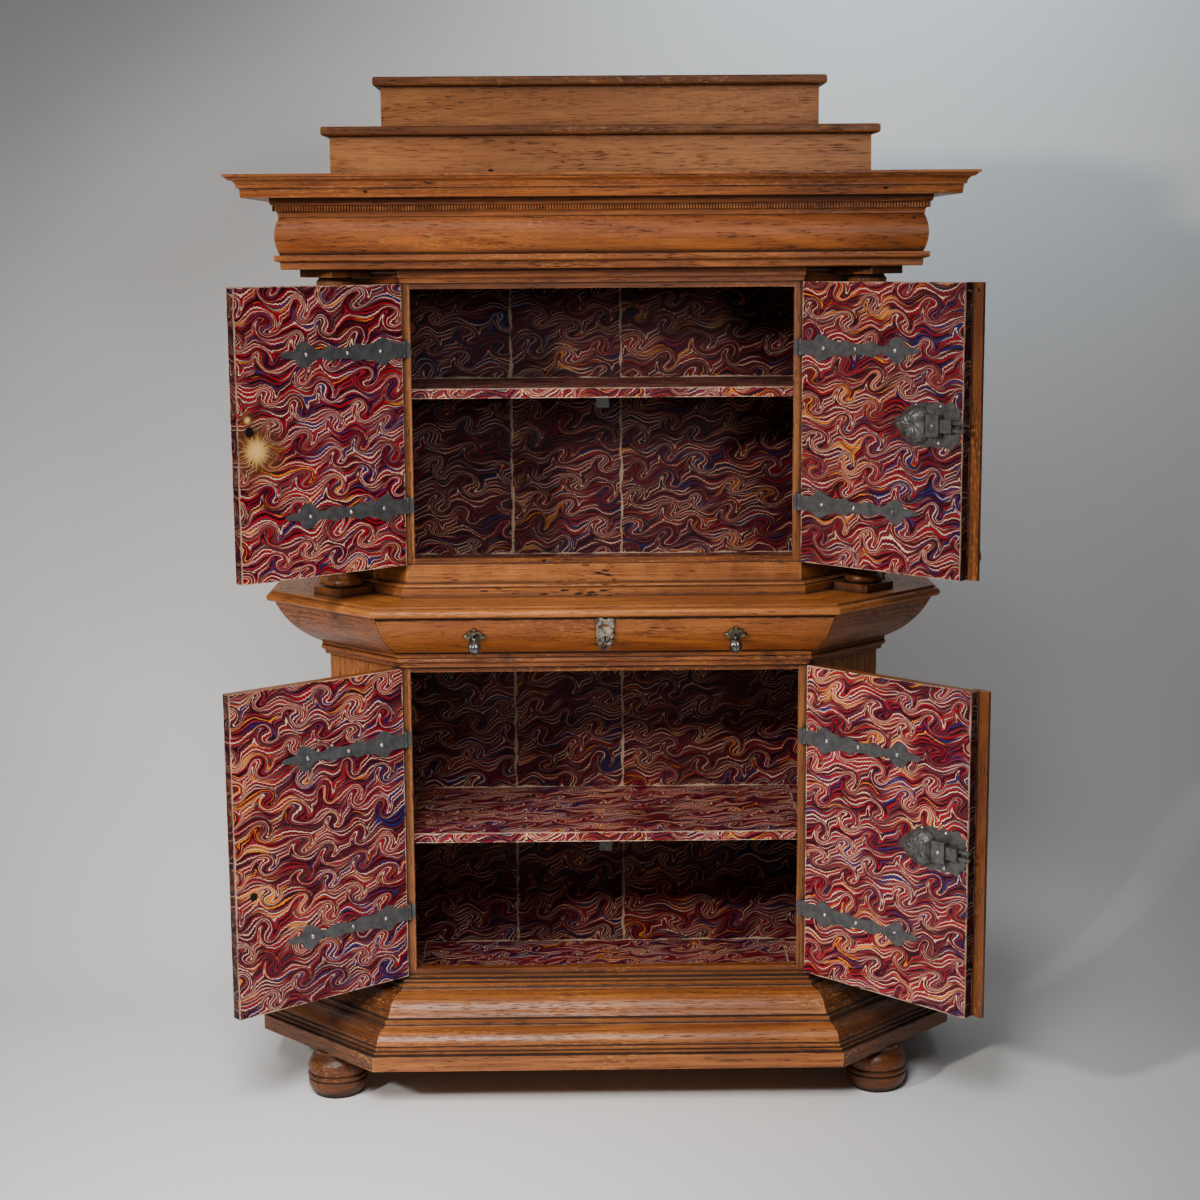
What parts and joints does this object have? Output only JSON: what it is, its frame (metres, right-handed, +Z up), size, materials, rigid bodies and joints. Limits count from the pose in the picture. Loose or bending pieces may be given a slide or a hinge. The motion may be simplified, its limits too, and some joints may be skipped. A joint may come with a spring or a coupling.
{
  "type": "cabinet",
  "caption": "Baroque oak cupboard with canted corners, strap-hinged doors above and below a flared waist drawer, corner columns, moulded plinth, stepped cornice top and bun feet.",
  "frame": {"origin": "middle of the footprint of the whole object with its doors open, on the floor", "axes": "+Z up, the front faces -Y, +X to the viewer's right"},
  "size_m": [1.4682, 0.736, 2.08],
  "materials": {
    "oak": "waxed, worn",
    "iron": "forged, worn bright",
    "steel": "filed and worn",
    "brass": "dulled",
    "lining": "marbled lining paper, worn"
  },
  "bodies": {
    "case": {"bun_feet": "oak", "plinth_front": "oak", "plinth_returns": "oak", "lower_cants": "oak", "lower_sides": "oak", "upper_cants": "oak", "upper_sides": "oak", "lower_back_boards": "oak", "upper_back_boards": "oak", "lower_floor": "oak", "lower_shelf": "oak", "drawer_deck": "oak", "upper_floor": "oak", "upper_shelf": "oak", "shelf_bearers": "oak", "door_rails": "oak", "waist_moulding": "oak", "waist_flares": "oak", "waist_board": "oak", "upper_base_moulding": "oak", "head_moulding": "oak", "columns": "oak", "column_blocks": "oak", "architrave": "oak", "frieze": "oak", "bed_moulding": "oak", "cornice": "oak", "entablature_decks": "oak", "lower_step": "oak", "lower_step_cap": "oak", "upper_step": "oak", "upper_step_cap": "oak", "drawer_guides": "oak", "hinge_leaves": "iron", "hinge_pins": "iron", "shelf_catches": "iron"},
    "drawer": {"drawer_front": "oak", "drawer_box": "oak", "drawer_escutcheon": "brass", "pull_mounts": "brass"},
    "left_drop": {"left_drop": "brass"},
    "right_drop": {"right_drop": "brass"},
    "upper_left_door": {"upper_left_door": "oak", "upper_left_door_panel": "oak", "upper_left_straps": "iron"},
    "upper_right_door": {"upper_right_door": "oak", "upper_right_door_panel": "oak", "upper_right_straps": "iron", "upper_right_astragal": "oak", "upper_right_lock": "iron"},
    "upper_right_bolt": {"upper_right_bolt": "steel"},
    "lower_left_door": {"lower_left_door": "oak", "lower_left_door_panel": "oak", "lower_left_straps": "iron"},
    "lower_right_door": {"lower_right_door": "oak", "lower_right_door_panel": "oak", "lower_right_straps": "iron", "lower_right_astragal": "oak", "lower_right_lock": "iron"},
    "lower_right_bolt": {"lower_right_bolt": "steel"}
  },
  "joints": [
    {"name": "drawer_slide", "type": "slide", "parent": "case", "child": "drawer", "axis": [0, -1, 0], "range_m": [0, 0.26]},
    {"name": "left_drop_swing", "type": "hinge", "parent": "drawer", "child": "left_drop", "pos_m": [-0.26, -0.15073, 0.96958], "axis": [-1, 0, 0], "range_deg": [-12, 80]},
    {"name": "right_drop_swing", "type": "hinge", "parent": "drawer", "child": "right_drop", "pos_m": [0.26, -0.15073, 0.96958], "axis": [-1, 0, 0], "range_deg": [-12, 80]},
    {"name": "upper_left_hinge", "type": "hinge", "parent": "case", "child": "upper_left_door", "pos_m": [-0.396, -0.039, 1.382], "axis": [0, 0, -1], "range_deg": [-139, 13]},
    {"name": "upper_right_hinge", "type": "hinge", "parent": "case", "child": "upper_right_door", "pos_m": [0.396, -0.039, 1.382], "axis": [0, 0, 1], "range_deg": [-135, 17]},
    {"name": "upper_bolt_slide", "type": "slide", "parent": "upper_right_door", "child": "upper_right_bolt", "axis": [0.7071, -0.7071, 0], "range_m": [-0.009, 0.004]},
    {"name": "lower_left_hinge", "type": "hinge", "parent": "case", "child": "lower_left_door", "pos_m": [-0.408, -0.066, 0.565], "axis": [0, 0, -1], "range_deg": [-141, 11]},
    {"name": "lower_right_hinge", "type": "hinge", "parent": "case", "child": "lower_right_door", "pos_m": [0.408, -0.066, 0.565], "axis": [0, 0, 1], "range_deg": [-135, 17]},
    {"name": "lower_bolt_slide", "type": "slide", "parent": "lower_right_door", "child": "lower_right_bolt", "axis": [0.7071, -0.7071, 0], "range_m": [-0.009, 0.004]}
  ]
}
